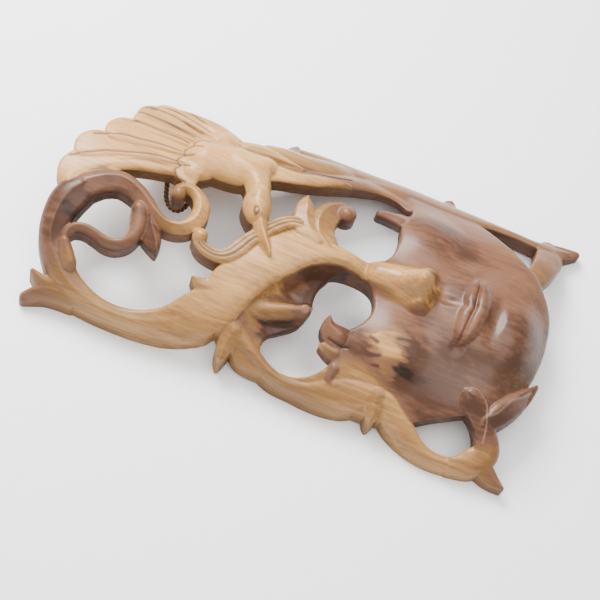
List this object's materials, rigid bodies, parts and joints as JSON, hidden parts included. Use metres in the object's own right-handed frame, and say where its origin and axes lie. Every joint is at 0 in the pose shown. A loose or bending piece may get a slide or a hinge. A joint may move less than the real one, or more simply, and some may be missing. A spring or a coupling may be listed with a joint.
{
  "type": "carved wall mask",
  "caption": "Wall mask carved from a block of wood: a calm face shell under openwork scrolls, with a bird whose fanned wing makes the top, lying face up, and a short hanging cord.",
  "frame": {"origin": "middle of the mask's own box at the flat backs of its rims, where it rests", "axes": "+Y from the chin to the top of the mask, +Z out of its front, +X to its left side, which is on the right of someone who looks at it"},
  "size_m": [0.214, 0.3841, 0.0876],
  "materials": {
    "polished_pale_wood": "satin polished, pale sapwood with brown heartwood",
    "dark_twisted_cord": "matt dark twisted cord"
  },
  "bodies": {
    "root": {"mask": "polished_pale_wood", "hanging_cord": "dark_twisted_cord"}
  },
  "joints": []
}
